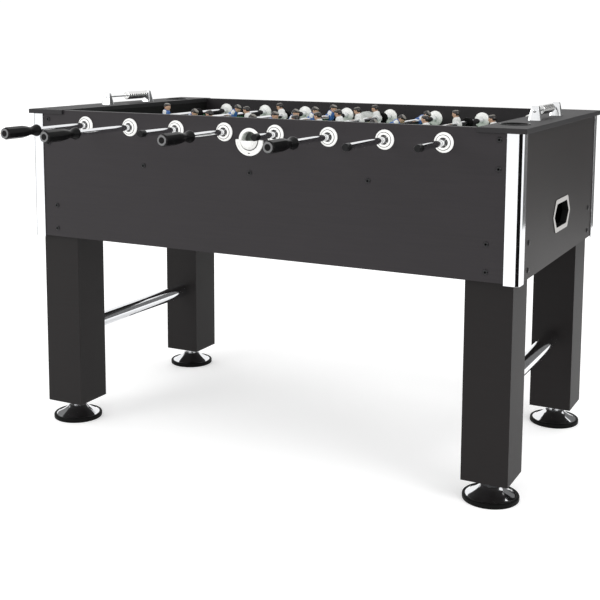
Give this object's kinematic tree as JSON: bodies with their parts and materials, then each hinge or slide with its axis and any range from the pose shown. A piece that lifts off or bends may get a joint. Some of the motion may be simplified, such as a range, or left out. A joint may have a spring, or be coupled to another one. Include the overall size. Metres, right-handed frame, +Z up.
{
  "type": "foosball table",
  "caption": "Freestanding foosball table with black laminate cabinet, square legs, bell levelers, sliding and turning player rods, ball returns, serve cups, bead scorers and cup holders.",
  "frame": {"origin": "on the floor under the middle of the table", "axes": "+X along the table to its right-hand end, +Y across it from the front to the rear, +Z up"},
  "size_m": [1.422, 1.454, 0.938],
  "materials": {
    "black_laminate": "matte black wood-grain laminate",
    "field_print": "satin green playing surface",
    "chrome": "polished",
    "bare_wood": "raw softwood",
    "white_plastic": "gloss moulded",
    "clear_grey_plastic": "gloss moulded, translucent grey",
    "grey_plastic": "satin moulded",
    "black_plastic": "satin moulded",
    "black_rubber": "matte",
    "black_steel": "black oxide",
    "blue_kit": "painted figure, blue shirt",
    "white_kit": "painted figure, white shirt"
  },
  "bodies": {
    "cabinet": {"front_panel": "black_laminate", "rear_panel": "black_laminate", "left_end_panel": "black_laminate", "right_end_panel": "black_laminate", "playfield": "field_print", "goal_walls": "black_laminate", "left_top_board": "black_laminate", "right_top_board": "black_laminate", "corner_trims": "chrome", "wood_cleats": "bare_wood", "legs": "black_laminate", "crossbars": "chrome", "cabinet_floor": "black_laminate", "ball_boxes": "black_plastic", "return_bezels": "grey_plastic", "serve_cups": "white_plastic", "serve_hoods": "clear_grey_plastic", "bearing_flanges": "white_plastic", "bearing_nuts": "white_plastic", "cabinet_bolts": "black_steel", "cup_holders": "black_plastic", "scorer_frames": "chrome"},
    "left_beads": {"left_scorer_beads": "chrome"},
    "right_beads": {"right_scorer_beads": "chrome"},
    "front_left_foot": {"front_left_leveler": "chrome"},
    "front_right_foot": {"front_right_leveler": "chrome"},
    "rear_left_foot": {"rear_left_leveler": "chrome"},
    "rear_right_foot": {"rear_right_leveler": "chrome"},
    "rod_1_carriage": {"rod_1_stops": "black_rubber"},
    "rod_1_spinner": {"rod_1_tube": "chrome", "rod_1_men": "blue_kit", "rod_1_handle": "black_plastic"},
    "rod_2_carriage": {"rod_2_stops": "black_rubber"},
    "rod_2_spinner": {"rod_2_tube": "chrome", "rod_2_men": "blue_kit", "rod_2_handle": "black_plastic"},
    "rod_3_carriage": {"rod_3_stops": "black_rubber"},
    "rod_3_spinner": {"rod_3_tube": "chrome", "rod_3_men": "white_kit", "rod_3_handle": "black_plastic"},
    "rod_4_carriage": {"rod_4_stops": "black_rubber"},
    "rod_4_spinner": {"rod_4_tube": "chrome", "rod_4_men": "blue_kit", "rod_4_handle": "black_plastic"},
    "rod_5_carriage": {"rod_5_stops": "black_rubber"},
    "rod_5_spinner": {"rod_5_tube": "chrome", "rod_5_men": "white_kit", "rod_5_handle": "black_plastic"},
    "rod_6_carriage": {"rod_6_stops": "black_rubber"},
    "rod_6_spinner": {"rod_6_tube": "chrome", "rod_6_men": "blue_kit", "rod_6_handle": "black_plastic"},
    "rod_7_carriage": {"rod_7_stops": "black_rubber"},
    "rod_7_spinner": {"rod_7_tube": "chrome", "rod_7_men": "white_kit", "rod_7_handle": "black_plastic"},
    "rod_8_carriage": {"rod_8_stops": "black_rubber"},
    "rod_8_spinner": {"rod_8_tube": "chrome", "rod_8_men": "white_kit", "rod_8_handle": "black_plastic"}
  },
  "joints": [
    {"name": "front_left_leveler_screw", "type": "slide", "parent": "cabinet", "child": "front_left_foot", "axis": [0, 0, 1], "range_m": [-0.015, 0]},
    {"name": "front_right_leveler_screw", "type": "slide", "parent": "cabinet", "child": "front_right_foot", "axis": [0, 0, 1], "range_m": [-0.015, 0]},
    {"name": "rear_left_leveler_screw", "type": "slide", "parent": "cabinet", "child": "rear_left_foot", "axis": [0, 0, 1], "range_m": [-0.015, 0]},
    {"name": "rear_right_leveler_screw", "type": "slide", "parent": "cabinet", "child": "rear_right_foot", "axis": [0, 0, 1], "range_m": [-0.015, 0]},
    {"name": "left_beads_slide", "type": "slide", "parent": "cabinet", "child": "left_beads", "axis": [0, 1, 0], "range_m": [-0.082, 0]},
    {"name": "right_beads_slide", "type": "slide", "parent": "cabinet", "child": "right_beads", "axis": [0, 1, 0], "range_m": [-0.035, 0.047]},
    {"name": "rod_1_push", "type": "slide", "parent": "cabinet", "child": "rod_1_carriage", "axis": [0, 1, 0], "range_m": [-0.1, 0.16]},
    {"name": "rod_1_spin", "type": "hinge", "parent": "rod_1_carriage", "child": "rod_1_spinner", "pos_m": [-0.5159, 0, 0.864], "axis": [0, 1, 0], "continuous": true},
    {"name": "rod_2_push", "type": "slide", "parent": "cabinet", "child": "rod_2_carriage", "axis": [0, 1, 0], "range_m": [-0.075, 0.115]},
    {"name": "rod_2_spin", "type": "hinge", "parent": "rod_2_carriage", "child": "rod_2_spinner", "pos_m": [-0.3685, 0, 0.864], "axis": [0, 1, 0], "continuous": true},
    {"name": "rod_3_push", "type": "slide", "parent": "cabinet", "child": "rod_3_carriage", "axis": [0, 1, 0], "range_m": [-0.1, 0.11]},
    {"name": "rod_3_spin", "type": "hinge", "parent": "rod_3_carriage", "child": "rod_3_spinner", "pos_m": [-0.2211, 0, 0.864], "axis": [0, 1, 0], "continuous": true},
    {"name": "rod_4_push", "type": "slide", "parent": "cabinet", "child": "rod_4_carriage", "axis": [0, 1, 0], "range_m": [-0.046, 0.07]},
    {"name": "rod_4_spin", "type": "hinge", "parent": "rod_4_carriage", "child": "rod_4_spinner", "pos_m": [-0.0737, 0, 0.864], "axis": [0, 1, 0], "continuous": true},
    {"name": "rod_5_push", "type": "slide", "parent": "cabinet", "child": "rod_5_carriage", "axis": [0, 1, 0], "range_m": [-0.046, 0.046]},
    {"name": "rod_5_spin", "type": "hinge", "parent": "rod_5_carriage", "child": "rod_5_spinner", "pos_m": [0.0737, 0, 0.864], "axis": [0, 1, 0], "continuous": true},
    {"name": "rod_6_push", "type": "slide", "parent": "cabinet", "child": "rod_6_carriage", "axis": [0, 1, 0], "range_m": [-0.112, 0.09]},
    {"name": "rod_6_spin", "type": "hinge", "parent": "rod_6_carriage", "child": "rod_6_spinner", "pos_m": [0.2211, 0, 0.864], "axis": [0, 1, 0], "continuous": true},
    {"name": "rod_7_push", "type": "slide", "parent": "cabinet", "child": "rod_7_carriage", "axis": [0, 1, 0], "range_m": [-0.072, 0.12]},
    {"name": "rod_7_spin", "type": "hinge", "parent": "rod_7_carriage", "child": "rod_7_spinner", "pos_m": [0.3685, 0, 0.864], "axis": [0, 1, 0], "continuous": true},
    {"name": "rod_8_push", "type": "slide", "parent": "cabinet", "child": "rod_8_carriage", "axis": [0, 1, 0], "range_m": [-0.12, 0.13]},
    {"name": "rod_8_spin", "type": "hinge", "parent": "rod_8_carriage", "child": "rod_8_spinner", "pos_m": [0.5159, 0, 0.864], "axis": [0, 1, 0], "continuous": true}
  ]
}
